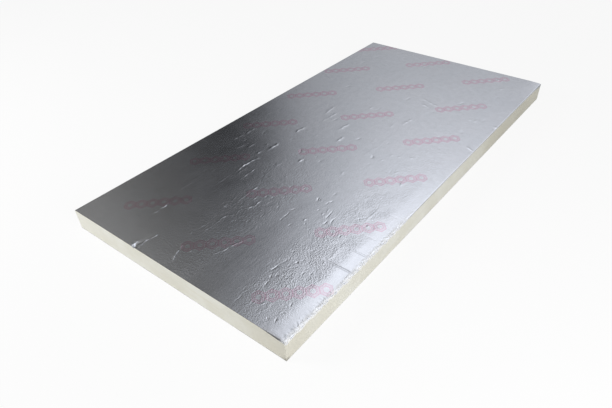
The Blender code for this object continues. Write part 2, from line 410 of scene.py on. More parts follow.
def edge_form(run, near):
    """Set-back and drop of the arris and length of the lip; near is 1 at the near long edge."""
    depth = near * crush(run) * wave(run, RIPPLE_PITCH)
    ragged = near * crush(run) * wave(run, RAGGED_PITCH, math.pi / 2)
    corner = near * np.clip((run - LENGTH) / CORNER_LIP_LENGTH + 1, 0, 1) ** CORNER_LIP_CURVE
    setback = ARRIS_SETBACK + CRUSH_SETBACK * depth
    drop = ARRIS_DROP + CRUSH_DROP * depth
    torn = near * (SOUND_TORN_SHARE + (1 - SOUND_TORN_SHARE) * crush(run))
    torn = torn * noise(run, 0 * run, *TORN_NOISE)
    lip = LIP_LENGTH + RAGGED_LIP * ragged + CORNER_LIP * corner + TORN_LIP * torn
    return setback, drop, np.maximum(lip, SHORTEST_LIP)


def roll_off(run, edge):
    """Depth by which the top falls away towards the near long edge."""
    share = np.clip(1.0 - edge / ROLL_OFF_WIDTH, 0, 1)
    crushed = ROLL_OFF_DEPTH * smooth((ROLL_OFF_LENGTH - run) / ROLL_OFF_FADE)
    corner = CORNER_ROLL_OFF_DEPTH * smooth((run - LENGTH) / CORNER_ROLL_OFF_LENGTH + 1)
    return (crushed + corner) * share * share


def nick_dip(run, edge):
    across = np.clip(1.0 - np.abs(edge - NICK_FROM_EDGE) / NICK_HALF_WIDTH, 0, 1)
    along = np.clip(1.0 - run / NICK_REACH, 0, 1)
    return NICK_DEPTH * across * along * along


def section(run, across):
    """Points and outward normals of the plain foil, at distances across the unrolled sheet."""
    near = (across < WIDTH / 2) * 1.0
    inward = np.minimum(across, WIDTH - across)
    setback, drop, lip = edge_form(run, near)
    angle = (1 - np.clip(inward / ARC_SPAN, 0, 1)) * math.pi / 2
    past_arc = np.clip((inward - ARC_SPAN) / (SHOULDER - ARC_SPAN), 0, 1)
    inset = setback * (1 - np.sin(angle)) + (SHOULDER - setback) * past_arc
    inset = inset + np.maximum(inward - SHOULDER, 0)
    side = 1 - 2 * near
    y = NEAR_EDGE + WIDTH / 2 + side * (WIDTH / 2 - inset)
    z = TOP - drop * (1 - np.cos(angle)) - lip * np.clip(-inward / LIP_SPAN, 0, 1)
    z = z - roll_off(run, y - NEAR_EDGE) - nick_dip(run, y - NEAR_EDGE)
    out, up = np.sin(angle) / setback, np.cos(angle) / drop
    size = np.hypot(out, up)
    x = NEAR_END + run
    return np.stack([x, y, z], -1), np.stack([0 * x, side * out / size, up / size], -1)


# Relief of the foil, over (run, edge)

def distance_to_line(run, edge, points):
    """Distance to a line of points, and the length left to the nearer end of the line."""
    lengths = [math.dist(a, b) for a, b in zip(points, points[1:])]
    nearest = np.full(run.shape, np.inf)
    left = np.zeros(run.shape)
    done = 0.0
    for start, end, length in zip(points, points[1:], lengths):
        off_run, off_edge = run - start[0], edge - start[1]
        step_run, step_edge = end[0] - start[0], end[1] - start[1]
        along = off_run * step_run + off_edge * step_edge
        share = np.clip(along / length ** 2, 0, 1)
        distance = np.hypot(off_run - share * step_run, off_edge - share * step_edge)
        place = done + share * length
        closer = distance < nearest
        nearest = np.where(closer, distance, nearest)
        left = np.where(closer, np.minimum(place, sum(lengths) - place), left)
        done += length
    return nearest, left


def scattered_wrinkles():
    """Short lines in the wrinkle fields, mostly along the board and mostly valleys."""
    random = np.random.default_rng(WRINKLE_SEED)
    lines = []
    for run_low, run_high, edge_low, edge_high, count, length, depth in WRINKLE_FIELDS:
        for _number in range(count):
            run = random.uniform(run_low, run_high)
            edge = random.uniform(edge_low, edge_high)
            half = length * random.uniform(*WRINKLE_HALF_LENGTHS)
            turn = random.uniform(-WRINKLE_SLANT, WRINKLE_SLANT)
            bow = random.uniform(-WRINKLE_BOW, WRINKLE_BOW) * half
            height = depth * random.uniform(*WRINKLE_DEPTHS) * random.choice(WRINKLE_SIGNS)
            lines.append((
                height, WRINKLE_HALF_WIDTH, (run - half, edge - half * turn),
                (run, edge + bow), (run + half, edge + half * turn),
            ))
    return tuple(lines)


ALL_CREASES = CREASES + scattered_wrinkles()


def near_creases(run, edge):
    """Distance to the nearest crease, up to CREASE_REACH, with the relief of all creases."""
    bent_run, bent_edge = swayed(run, edge, CREASE_SWAY, *CREASE_SWAY_NOISE)
    bent_edge = bent_edge + CREASE_JITTER * noise(run, edge, *JITTER_NOISE)
    breaks = BREAK_LEVEL + BREAK_DEPTH * noise(run, edge, *BREAK_NOISE)
    distances = np.full(run.shape, CREASE_REACH)
    relief = np.zeros(run.shape)
    for height, half_width, *points in ALL_CREASES:
        runs, edges = zip(*points)
        broad = 1.0 + FAR_BREADTH * float(smooth((min(runs) - FAR_FROM) / FAR_FADE))
        height, half_width = height * broad, half_width * broad
        close = (bent_run > min(runs) - CREASE_REACH) & (bent_run < max(runs) + CREASE_REACH)
        close &= (bent_edge > min(edges) - CREASE_REACH) & (bent_edge < max(edges) + CREASE_REACH)
        if close.any():
            distance, left = distance_to_line(bent_run[close], bent_edge[close], points)
            distances[close] = np.minimum(distances[close], distance)
            body = CREASE_GAIN * height * bell(distance / half_width)
            taper = CREASE_END_SHARE + (1 - CREASE_END_SHARE) * smooth(left / CREASE_TAPER)
            relief[close] += body * breaks[close] * taper
    return distances, relief


def fold_relief(run, edge):
    relief = np.zeros(run.shape)
    for height, half_width, place, first, last in FOLDS:
        bent = run - place - FOLD_SWAY * noise(0 * run, edge, *FOLD_SWAY_NOISE)
        along = smooth((edge - first) / FOLD_START_FADE + 1) * smooth((last - edge) / FOLD_FADE)
        relief -= height * along * bell(bent / half_width)
    return relief


def near_blisters(run, edge):
    distances = np.full(run.shape, np.inf)
    relief = np.zeros(run.shape)
    bent_run, bent_edge = swayed(run, edge, BLISTER_SWAY, *BLISTER_SWAY_NOISE)
    for middle_run, middle_edge, radius, height in BLISTERS:
        distance = np.hypot((bent_run - middle_run) * BLISTER_STRETCH, bent_edge - middle_edge)
        distances = np.minimum(distances, np.maximum(distance - radius, 0))
        relief += BLISTER_GAIN * height * bell(distance / radius, BLISTER_STEEPNESS)
    return distances, relief


def swell_relief(run, edge):
    """Slow swells of the whole sheet, longer along the board than across it."""
    return SWELL_HEIGHT * noise(run, edge, *SWELL_NOISE)


def crumple_relief(run, across):
    """Sharp small crumples along the crushed edge, on the arris and the lip."""
    off = (np.abs(across - CRUMPLE_MIDDLE) - CRUMPLE_HALF_WIDTH) / CRUMPLE_FADE
    folds = 1.0 - np.abs(noise(run + CRUMPLE_SLANT * across, across, *CRUMPLE_NOISE))
    return CRUMPLE_HEIGHT * crush(run) * smooth(1.0 - off) * (smooth(folds) - CRUMPLE_LEVEL)


def nick_relief(run, edge):
    """Small sharp crumples where the end of the foil is struck in."""
    off = np.hypot((run - NICK_CRUMPLE_RUN) / NICK_CRUMPLE_REACH[0],
                   (edge - NICK_FROM_EDGE) / NICK_CRUMPLE_REACH[1])
    zone = smooth(NICK_CRUMPLE_FADE - off)
    return NICK_CRUMPLE_HEIGHT * zone * noise(run, edge, *NICK_CRUMPLE_NOISE)


def foil_surface(run, across):
    """Points and normals of the foil's outer face, with all its relief."""
    points, normals = section(run, across)
    edge = points[..., 1] - NEAR_EDGE
    relief = near_creases(run, edge)[1] + near_blisters(run, edge)[1]
    relief += swell_relief(run, edge) + nick_relief(run, edge) + fold_relief(run, edge)
    flat = normals[..., 2:]
    relief = relief[..., None] * flat + crumple_relief(run, across)[..., None]
    points = points + normals * (relief - RELIEF_ROOM * flat - LIP_INSET * (1 - flat))
    tip = smooth(OVERHANG_PLATEAU - OVERHANG_PLATEAU * edge / OVERHANG_WIDTH)
    tip = tip * np.clip(1 - run / (2 * UNIT), 0, 1)
    points[..., 0] -= OVERHANG * tip
    points[..., 2] -= OVERHANG_SAG * tip
    return points, normals


# Meshes

def make_piece(name, vertices, faces, material, sharp_degrees=180):
    mesh = bpy.data.meshes.new(name)
    mesh.from_pydata(vertices.tolist(), [], faces)
    mesh.validate()
    mesh.shade_smooth()
    mesh.set_sharp_from_angle(angle=math.radians(sharp_degrees))
    mesh.materials.append(material)
    piece = bpy.data.objects.new(name, mesh)
    bpy.context.scene.collection.objects.link(piece)
    return piece


def cell_place(column, row):
    """Run and distance across the unrolled sheet, from whole units."""
    return column * UNIT, row * UNIT - LIP_SPAN


def wanted_cell(run, across):
    """Largest cell wanted at a place: small on creases, blisters and edges."""
    edge = np.clip(across, 0, WIDTH)
    finest = np.where(run < FAR_RUN, FINE_CELL, FAR_FINE_CELL)
    crease = finest + CELL_GROWTH * np.maximum(near_creases(run, edge)[0] - CREASE_BAND, 0)
    blister = finest + CELL_GROWTH * near_blisters(run, edge)[0]
    fold = np.full(run.shape, PLAIN_CELL)
    for _height, half_width, place, _first, last in FOLDS:
        off = np.maximum(np.abs(run - place) - half_width * FOLD_BAND, 0)
        off = off + np.maximum(edge - last, 0)
        fold = np.minimum(fold, FAR_FINE_CELL + CELL_GROWTH * off)
    inward = np.minimum(across, WIDTH - across)
    rim = EDGE_CELL + EDGE_GROWTH * np.maximum(inward - EDGE_BAND, 0)
    end = END_CELL + CELL_GROWTH * np.minimum(run, LENGTH - run)
    crumpled = CRUMPLED_CELL + CELL_GROWTH * np.maximum(across - CRUMPLED_BAND, 0)
    crumpled = np.where(run < CRUSHED_LENGTH, crumpled, PLAIN_CELL)
    from_nick = np.maximum(np.hypot(run, edge - NICK_FROM_EDGE) - NICK_BAND, 0)
    nick = FINE_CELL + CELL_GROWTH * from_nick
    return np.minimum.reduce([crease, fold, blister, rim, end, crumpled, nick])


def split_cells(columns, rows, coarseness):
    """Square cells that cover the sheet, halved until none is larger than wanted."""
    column, row = np.meshgrid(
        np.arange(0, columns, LARGEST_CELL), np.arange(0, rows, LARGEST_CELL), indexing="ij")
    column, row = column.ravel(), row.ravel()
    size = LARGEST_CELL
    done = []
    while len(column):
        run, across = cell_place(column + size / 2, row + size / 2)
        too_large = (wanted_cell(run, across) * coarseness < size * UNIT) & (size > 1)
        done += [(*place, size) for place in np.stack([column, row], -1)[~too_large].tolist()]
        size //= 2
        column, row = column[too_large], row[too_large]
        column = np.concatenate([column, column + size, column, column + size])
        row = np.concatenate([row, row, row + size, row + size])
    return done


def corners(cell):
    column, row, size = cell
    return [(column, row), (column + size, row), (column + size, row + size), (column, row + size)]


def side_points(used, start, end):
    """The points in use from start towards end, without end itself."""
    middle = (start[0] + end[0]) // 2, (start[1] + end[1]) // 2
    if middle in (start, end) or middle not in used:
        return [start]
    return side_points(used, start, middle) + side_points(used, middle, end)


def cell_loop(used, cell):
    """All the points round a cell, with those of smaller neighbours."""
    ring = corners(cell)
    loop = []
    for start, end in zip(ring, ring[1:] + ring[:1]):
        loop += side_points(used, start, end)
    return loop


def on_rim(start, end, columns, rows):
    same_column = start[0] == end[0] and start[0] in (0, columns)
    same_row = start[1] == end[1] and start[1] in (0, rows)
    return same_column or same_row


def build_top_foil(material):
    """A closed sheet: a fine outer face, a coarse inner one and a rim of the foil's thickness."""
    columns = round(LENGTH / UNIT)
    rows = round((WIDTH + 2 * LIP_SPAN) / UNIT)
    outer_cells = split_cells(columns, rows, 1)
    inner_cells = split_cells(columns, rows, BACKING_COARSENESS)
    outer = dict.fromkeys(point for cell in outer_cells for point in corners(cell))
    inner = dict.fromkeys(point for cell in inner_cells for point in corners(cell))
    outer = {point: number for number, point in enumerate(outer)}
    inner = {point: number + len(outer) for number, point in enumerate(inner)}

    points, _normals = foil_surface(*cell_place(*np.array(list(outer)).T))
    run, across = cell_place(*np.array(list(inner)).T)
    inner_points, normals = foil_surface(run, across)
    inside = smooth(np.minimum(run, LENGTH - run) / BACKING_FADE - BACKING_START)
    inside = inside * normals[:, 2]
    inner_points -= normals * (FOIL_THICKNESS + BACKING_INSET * inside)[:, None]

    faces = [[outer[point] for point in cell_loop(outer, cell)] for cell in outer_cells]
    for cell in inner_cells:
        loop = cell_loop(inner, cell)
        faces.append([inner[point] for point in loop[::-1]])
        for start, end in zip(loop, loop[1:] + loop[:1]):
            if on_rim(start, end, columns, rows):
                rim = (side_points(outer, start, end) + [end])[::-1]
                faces.append([outer[point] for point in rim] + [inner[start], inner[end]])
    vertices = np.concatenate([points, inner_points])
    return make_piece("top_foil", vertices, faces, material, FOIL_SHARP_ANGLE)


# Foam

def stations(length):
    return np.linspace(0, length, math.ceil(length / FOAM_PITCH) + 1)


def foam_relief(along, z, seed):
    """Sawn face: fine unevenness, with faint saw lines that run along it."""
    rough = noise(along, z, *FOAM_ROUGHNESS_CELLS, seed, 3)
    saw = noise(along, z, *FOAM_SAW_CELLS, seed + FOAM_SAW_SEED_STEP)
    return FOAM_ROUGHNESS_HEIGHT * (rough - FOAM_ROUGHNESS_LEVEL) + FOAM_SAW_HEIGHT * saw


# Rings of the slab above its sides: where they lie across the sheet, and in from the ends
RING_ACROSS = (-LIP_SPAN / 2, 0.0, ARC_SPAN * 0.4, ARC_SPAN * 0.8, ARC_SPAN, SHOULDER)
RING_FROM_END = (0.0003, 0.0010, 0.0040, 0.0080, 0.0120, SHOULDER)


def under_foil(run, across, gap):
    points, normals = foil_surface(run, across)
    points[..., 0] = NEAR_END + run
    return points - normals * (FOIL_THICKNESS + gap)


def long_side_rings(run, near, floor):
    """Rings of one long side: up the sawn face, in under the lip and over the arris."""
    side = 1 - 2 * near
    y_side = NEAR_EDGE + WIDTH / 2 + side * WIDTH / 2
    past_lip = np.full(run.shape, -LIP_SPAN if near else WIDTH + LIP_SPAN)
    lip_end = foil_surface(run, past_lip)[0][:, 2]
    face_top = lip_end - REBATE_RISE
    rings = []
    for row in range(FOAM_ROWS + 1):
        z = floor + (face_top - floor) * row / FOAM_ROWS
        push = foam_relief(run, z, FOAM_SIDE_SEEDS[near]) - FOAM_INSET
        rings.append(np.stack([NEAR_END + run, y_side + side * push, z], -1))
    rings.append(np.stack([NEAR_END + run, y_side - side * REBATE_INSET + 0 * run, lip_end], -1))
    for across, from_end in zip(RING_ACROSS, RING_FROM_END):
        inner_run = LENGTH / 2 + (run - LENGTH / 2) * (1 - from_end / (LENGTH / 2))
        place = across if near else WIDTH - across
        rings.append(under_foil(inner_run, np.full(run.shape, place), FOAM_SUNK))
    return rings


def short_side_rings(edge, near, floor):
    """Rings of one short end: up the sawn face and in under the foil."""
    side = 1 - 2 * near
    run_end = 0.0 if near else LENGTH
    top = under_foil(np.full(edge.shape, run_end), edge, FOAM_GAP)
    rings = []
    for row in range(FOAM_ROWS + 1):
        z = floor + (top[:, 2] - floor) * row / FOAM_ROWS
        push = foam_relief(edge, z, FOAM_END_SEEDS[near]) - FOAM_INSET
        rings.append(np.stack([NEAR_END + run_end + side * push, top[:, 1], z], -1))
    for from_end in (FOAM_TUCK,) + RING_FROM_END:
        inner_edge = WIDTH / 2 + (edge - WIDTH / 2) * (1 - from_end / (WIDTH / 2))
        run = np.full(edge.shape, run_end - side * from_end)
        gap = FOAM_SUNK if from_end > FOAM_SUNK_FROM else FOAM_GAP
        rings.append(under_foil(run, inner_edge, gap))
    return rings


def build_foam(material):
    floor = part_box("foam_core")[0].z
    run = stations(LENGTH)
    edge = stations(WIDTH)[1:-1]
    parts = (
        long_side_rings(run, 1, floor),
        short_side_rings(edge, 0, floor),
        long_side_rings(run[::-1], 0, floor),
        short_side_rings(edge[::-1], 1, floor),
    )
    rings = [np.concatenate(ring) for ring in zip(*parts)]
    inner = rings[-1].copy()
    inner[:, 0] *= 1 - FOAM_INNER_RING / (LENGTH / 2)
    inner[:, 1] *= 1 - FOAM_INNER_RING / (WIDTH / 2)
    inner[:, 2] = FOAM_INNER_HEIGHT
    rings.append(inner)
    numbers = np.arange(len(rings) * len(inner)).reshape(len(rings), -1)
    following = np.roll(numbers, -1, axis=1)
    sides = np.stack([numbers[:-1], following[:-1], following[1:], numbers[1:]], -1)
    faces = sides.reshape(-1, 4).tolist() + [numbers[0, ::-1].tolist(), numbers[-1].tolist()]
    return make_piece("foam_slab", np.concatenate(rings), faces, material, FOAM_SHARP_ANGLE)


# Shader nodes

class Nodes:
    """A thin layer over a node tree, for wiring nodes in one expression."""

    def __init__(self, tree):
        self.tree = tree

    def add(self, kind, inputs=None, **settings):
        node = self.tree.nodes.new(kind)
        for name, value in settings.items():
            setattr(node, name, value)
        for name, value in (inputs or {}).items():
            self.feed(node.inputs[name], value)
        return node

    def feed(self, socket, value):
        if isinstance(value, bpy.types.NodeSocket):
            self.tree.links.new(value, socket)
        else:
            socket.default_value = value

    def math(self, operation, *values):
        node = self.add("ShaderNodeMath", operation=operation)
        for socket, value in zip(node.inputs, values):
            self.feed(socket, value)
        return node.outputs[0]

    def product(self, first, *others):
        for other in others:
            first = self.math("MULTIPLY", first, other)
        return first

    def ramp(self, value, low, high, to_low=0.0, to_high=1.0):
        """Smooth step of value from low to high."""
        node = self.add("ShaderNodeMapRange", interpolation_type="SMOOTHSTEP", inputs={
            "Value": value, "From Min": low, "From Max": high,
            "To Min": to_low, "To Max": to_high,
        })
        return node.outputs["Result"]

    def ramps(self, value, *steps):
        """Product of several smooth steps of one value."""
        return self.product(*[self.ramp(value, *step) for step in steps])

    def mix_color(self, factor, first, second):
        node = self.add("ShaderNodeMix", data_type="RGBA")
        self.feed(node.inputs[0], factor)
        self.feed(node.inputs[6], first)
        self.feed(node.inputs[7], second)
        return node.outputs[2]

    def noise(self, vector, scale, detail, roughness=0.5):
        node = self.add("ShaderNodeTexNoise", inputs={
            "Vector": vector, "Scale": scale, "Detail": detail, "Roughness": roughness,
        })
        return node.outputs[0]

    def patches(self, vector, grain, step):
        """Noise of a grain (scale, detail, roughness), with a smooth step over it."""
        return self.ramp(self.noise(vector, *grain), *step)

    def stretched(self, vector, scale):
        node = self.add("ShaderNodeVectorMath", operation="MULTIPLY")
        self.feed(node.inputs[0], vector)
        self.feed(node.inputs[1], scale)
        return node.outputs[0]

    def separated(self, vector):
        return self.add("ShaderNodeSeparateXYZ", inputs={"Vector": vector}).outputs

    def bump(self, height, distance, strength, normal=None):
        node = self.add("ShaderNodeBump", inputs={
            "Height": height, "Distance": distance, "Strength": strength,
        })
        if normal is not None:
            self.feed(node.inputs["Normal"], normal)
        return node.outputs["Normal"]


def new_material(name):
    material = bpy.data.materials.new(name)
    material.use_nodes = True
    tree = material.node_tree
    return material, Nodes(tree), tree.nodes["Principled BSDF"]


# From here on a step is (from, to) of what it goes over, such as X or Y, with the levels before
# and after it where they aren't 0 and 1. A pattern is (grain, step), as patches takes them.

# Print on the foil: short chains of plain hexagon outlines, staggered along the diagonal
PRINT_ALONG = 0.536
PRINT_ACROSS = 0.315
PRINT_FIRST = (-1.014, -0.480)
HEXAGON_PITCH = 0.049
HEXAGON_COUNT = 6
HEXAGON_STRETCH = 0.84
HEXAGON_SIZES = (0.0232, 0.0128)
STROKE_STEP = (0.0011, 0.0023, 1.0, 0.0)
BAND_STRENGTH = 0.42
SQRT_HALF = math.sqrt(0.5)
SIXTH_TURN = math.tau / 6


def print_mask(n, x, y):
    """1 on the printed strokes and 0 between them."""
    along = n.product(n.math("SUBTRACT", x, y), SQRT_HALF)
    across = n.product(n.math("ADD", x, y), SQRT_HALF)
    first_along = (PRINT_FIRST[0] - PRINT_FIRST[1]) * SQRT_HALF
    first_across = (PRINT_FIRST[0] + PRINT_FIRST[1]) * SQRT_HALF
    lane = n.math("DIVIDE", n.math("SUBTRACT", across, first_across), PRINT_ACROSS)
    lane_number = n.math("ROUND", lane)
    from_lane = n.product(n.math("SUBTRACT", lane, lane_number), PRINT_ACROSS)
    stagger = n.product(lane_number, PRINT_ALONG / 2)
    offset = n.math("SUBTRACT", n.math("SUBTRACT", along, first_along), stagger)
    place = n.math("DIVIDE", offset, PRINT_ALONG)
    from_mark = n.product(n.math("SUBTRACT", place, n.math("ROUND", place)), PRINT_ALONG)
    chain_half = HEXAGON_PITCH * HEXAGON_COUNT / 2
    inside = n.math("LESS_THAN", n.math("ABSOLUTE", from_mark), chain_half)
    cell = n.math("ADD", n.math("DIVIDE", from_mark, HEXAGON_PITCH), (HEXAGON_COUNT - 1) / 2)
    from_cell = n.math("SUBTRACT", cell, n.math("ROUND", cell))
    u = n.math("ABSOLUTE", n.product(from_cell, HEXAGON_PITCH))
    v = n.product(n.math("ABSOLUTE", from_lane), HEXAGON_STRETCH)
    slant = n.math("ADD", n.product(u, math.cos(SIXTH_TURN)), n.product(v, math.sin(SIXTH_TURN)))
    reach = n.math("MAXIMUM", u, slant)
    outer, inner = [
        n.ramp(n.math("ABSOLUTE", n.math("SUBTRACT", reach, half)), *STROKE_STEP)
        for half in HEXAGON_SIZES]
    band = n.product(n.math("LESS_THAN", reach, HEXAGON_SIZES[0]),
                     n.math("GREATER_THAN", reach, HEXAGON_SIZES[1]), BAND_STRENGTH)
    return n.product(n.math("MAXIMUM", n.math("MAXIMUM", outer, inner), band), inside)


# Leather embossing of the foil
EMBOSSED_EDGE_Y = ((-0.43, -0.24, 1.0, 0.0), (-0.575, -0.515))
EMBOSSED_EDGE_X = ((-0.60, 0.0, 1.25, 0.80), (0.0, 0.7, 1.0, 0.15))
EMBOSSED_CORNER = (-1.18, -0.98, 0.35, 1.0)
EMBOSSED_MIDDLE_Y = ((-0.19, -0.09), (0.10, 0.25, 1.0, 0.0))
EMBOSSED_MIDDLE_X = (-0.70, 0.05, 1.25, 0.0)
EMBOSSED_ELSEWHERE = 0.20
EMBOSSED_PATCHES = ((13.0, 3.0), (0.38, 0.60, 0.50, 1.0))
LEATHER_STRETCH = (1.6, 1.0, 1.0)
LEATHER_GRAIN = (160.0, 3.0, 0.55)
MIDDLE_STRETCH = (1.5, 1.0, 1.0)
MIDDLE_GRAIN = (105.0, 3.0, 0.60)
DIMPLE_SCALE = 145.0
DIMPLE_SMOOTHNESS = 0.25


def leather_relief(n, position, parts):
    """Fine leather embossing: strong in the front along the near edge, faint elsewhere."""
    x, y = parts["X"], parts["Y"]
    along_edge = n.product(n.ramps(y, *EMBOSSED_EDGE_Y), n.ramps(x, *EMBOSSED_EDGE_X))
    along_edge = n.product(
        n.math("MAXIMUM", along_edge, EMBOSSED_ELSEWHERE),
        n.patches(position, *EMBOSSED_PATCHES), n.ramp(x, *EMBOSSED_CORNER))
    middle = n.product(n.ramp(x, *EMBOSSED_MIDDLE_X), n.ramps(y, *EMBOSSED_MIDDLE_Y))
    stretched = n.stretched(position, LEATHER_STRETCH)
    fine = n.noise(stretched, *LEATHER_GRAIN)
    coarse = n.noise(n.stretched(position, MIDDLE_STRETCH), *MIDDLE_GRAIN)
    dimples = n.add("ShaderNodeTexVoronoi", feature="SMOOTH_F1", inputs={
        "Vector": stretched, "Scale": DIMPLE_SCALE, "Smoothness": DIMPLE_SMOOTHNESS,
    }).outputs["Distance"]
    relief = n.product(n.math("ADD", fine, dimples), along_edge)
    return n.math("ADD", relief, n.product(coarse, middle))


# Tears of the crushed edge, which show foam painted near-white as a highlight, and dark specks of
# painted shade there
CRUSHED_END = NEAR_END + CRUSHED_LENGTH
TORN_SPAN = (CRUSHED_END - CRUSH_FADE, CRUSHED_END, 1.0, 0.0)
TORN_STRIP = (NEAR_EDGE + 0.008, NEAR_EDGE + 0.021, 1.0, 0.0)
TORN_FACING = (0.55, 0.95, 1.0, 0.45)
TEAR_STRETCH = (1.0, 1.4, 1.4)
TEARS = ((120.0, 2.0), (0.40, 0.50))
SHADE_SPECKS = ((190.0, 1.0), (0.60, 0.68, 0.0, 0.55))


def torn_specks(n, position, parts, facing):
    """Masks of tears in the crushed edge, which show foam painted near-white as a highlight, and
    of dark specks of painted shade there.
    """
    edge = n.product(n.ramp(parts["X"], *TORN_SPAN), n.ramp(parts["Y"], *TORN_STRIP))
    tears = n.patches(n.stretched(position, TEAR_STRETCH), *TEARS)
    torn = n.product(edge, n.ramp(facing["Z"], *TORN_FACING), tears)
    return torn, n.product(edge, n.patches(position, *SHADE_SPECKS))


# Foil: colours, and the patterns and steps that mix them
FOIL_COLOUR = (0.818, 0.848, 0.934, 1.0)
FOIL_SHADED = (0.790, 0.829, 0.919, 1.0)
FOIL_DULL = (0.736, 0.767, 0.848, 1.0)
# Painted shade: a dark colour for the shadow under the lip and under the overhanging near tip
EDGE_SHADE_COLOUR = (0.30, 0.31, 0.33, 1.0)
# Painted shade: near-black for the shadow under the lifted foil at the far corner lip
CORNER_LIP_SHADE_COLOUR = (0.12, 0.13, 0.12, 1.0)
# Torn foil showing foam, painted near-white and paler than the foam as the crushed edge's
# highlight
TORN_AND_HIGHLIGHT_COLOUR = (0.93, 0.925, 0.90, 1.0)
# Painted shade: dark specks for the small shadows in the crumples of the crushed edge
SPECK_SHADE_COLOUR = (0.36, 0.36, 0.35, 1.0)
INK_COLOUR = (0.765, 0.530, 0.675, 1.0)
SHADED_PATTERN = ((5.0, 2.0), (0.30, 0.70))
DULL_PATTERN = ((30.0, 4.0, 0.7), (0.35, 0.65, 0.0, 0.6))
GRAIN_PATTERN = ((150.0, 2.0, 0.6), (0.38, 0.62))
GRAIN_ALONG = (-0.10, 0.70, 0.60, 0.15)
ROUGHNESS_PATTERN = ((6.0, 2.0), (0.3, 0.7, 0.18, 0.205))
INK_PATTERN = ((60.0, 3.0), (0.25, 0.55, 0.75, 1.0))
INK_ALONG = (-1.10, 0.40, 0.72, 1.0)
INK_ROUGHNESS = 0.01
TORN_ROUGHNESS = 0.5
EDGE_COVER = 0.9
TURNED_DOWN = (0.35, 0.93, 1.0, 0.0)
SOUND_SPAN = (CRUSHED_END - 0.25, CRUSHED_END)
CUT_END = (NEAR_END + 0.0004, NEAR_END + 0.0016, 1.0, 0.0)
SAGGED_END = (NEAR_END + 0.0022, NEAR_END + 0.0034, 1.0, 0.0)
SAGGED_TIP = (NEAR_EDGE + OVERHANG_WIDTH * 0.6, NEAR_EDGE + OVERHANG_WIDTH * 0.9, 1.0, 0.0)
CORNER_LIP_SPAN = (NEAR_END + LENGTH - CORNER_LIP_LENGTH, NEAR_END + LENGTH - 0.050)
LEATHER_BUMP = (0.0010, 0.50)
STREAK_STRETCH = (0.030, 1.0, 1.0)
STREAK_GRAIN = (95.0, 2.0, 0.5)
STREAK_BUMP = (0.0006, 0.14)
SMALL_MOTTLE = (45.0, 3.0, 0.6)
LARGE_MOTTLE = (16.0, 1.0)
MOTTLE_ALONG = (-0.80, -0.20, 0.50, 1.0)
MOTTLE_BUMP = (0.0008, 0.24)


def edge_colours(n, colour, parts, facing):
    """Painted shade on the foil's edges: a dark line at the near end, on the sagged near tip and
    along the turned-down sound part of the near edge, and near-black on the corner lip.
    """
    x = parts["X"]
    turned_down = n.ramp(facing["Z"], *TURNED_DOWN)
    shaded_lip_edge = n.product(turned_down, n.ramp(x, *SOUND_SPAN))
    sagged = n.product(n.ramp(x, *SAGGED_END), n.ramp(parts["Y"], *SAGGED_TIP))
    # Painted shade along the cut end, the sagged tip and the turned-down sound edge
    painted_edge_shade = n.math("MAXIMUM", shaded_lip_edge, n.math("MAXIMUM", n.ramp(x, *CUT_END), sagged))
    colour = n.mix_color(n.product(painted_edge_shade, EDGE_COVER), colour, EDGE_SHADE_COLOUR)
    # Painted shade on the turned-down corner lip at the far end
    corner_lip_shade = n.product(turned_down, n.ramp(x, *CORNER_LIP_SPAN), EDGE_COVER)
    return n.mix_color(corner_lip_shade, colour, CORNER_LIP_SHADE_COLOUR)


def foil_material(name, printed):
    material, n, shader = new_material(name)
    position = n.add("ShaderNodeTexCoord").outputs["Object"]
    parts = n.separated(position)
    facing = n.separated(n.add("ShaderNodeNewGeometry").outputs["True Normal"])
    colour = n.mix_color(n.patches(position, *SHADED_PATTERN), FOIL_SHADED, FOIL_COLOUR)
    colour = n.mix_color(n.patches(position, *DULL_PATTERN), colour, FOIL_DULL)
    grain = n.product(n.patches(position, *GRAIN_PATTERN), n.ramp(parts["X"], *GRAIN_ALONG))
    colour = n.mix_color(grain, colour, FOIL_DULL)
    colour = edge_colours(n, colour, parts, facing)
    roughness = n.patches(position, *ROUGHNESS_PATTERN)
    if printed:
        ink = n.product(
            print_mask(n, parts["X"], parts["Y"]),
            n.product(n.patches(position, *INK_PATTERN), n.ramp(parts["X"], *INK_ALONG)))
        colour = n.mix_color(ink, colour, INK_COLOUR)
        roughness = n.math("ADD", roughness, n.product(ink, INK_ROUGHNESS))
    torn, speck_shade = torn_specks(n, position, parts, facing)
    # Torn foil shows foam, painted near-white as a highlight of the crushed edge
    colour = n.mix_color(n.product(torn, EDGE_COVER), colour, TORN_AND_HIGHLIGHT_COLOUR)
    # Painted shade in the crumples of the crushed edge
    colour = n.mix_color(speck_shade, colour, SPECK_SHADE_COLOUR)
    n.feed(shader.inputs["Metallic"], n.math("SUBTRACT", 1.0, torn))
    n.feed(shader.inputs["Base Color"], colour)
    n.feed(shader.inputs["Roughness"], n.math("ADD", roughness, n.product(torn, TORN_ROUGHNESS)))
    streaks = n.noise(n.stretched(position, STREAK_STRETCH), *STREAK_GRAIN)
    mottle = n.math("ADD", n.noise(position, *SMALL_MOTTLE), n.noise(position, *LARGE_MOTTLE))
    mottle = n.product(mottle, n.ramp(parts["X"], *MOTTLE_ALONG))
    normal = n.bump(leather_relief(n, position, parts), *LEATHER_BUMP)
    normal = n.bump(streaks, *STREAK_BUMP, normal)
    n.feed(shader.inputs["Normal"], n.bump(mottle, *MOTTLE_BUMP, normal))
    return material


# Foam: colours, and the patterns and steps that mix them
FOAM_COLOUR = (0.760, 0.748, 0.665, 1.0)
FOAM_PALE = (0.815, 0.810, 0.745, 1.0)
FOAM_WARM = (0.720, 0.690, 0.570, 1.0)
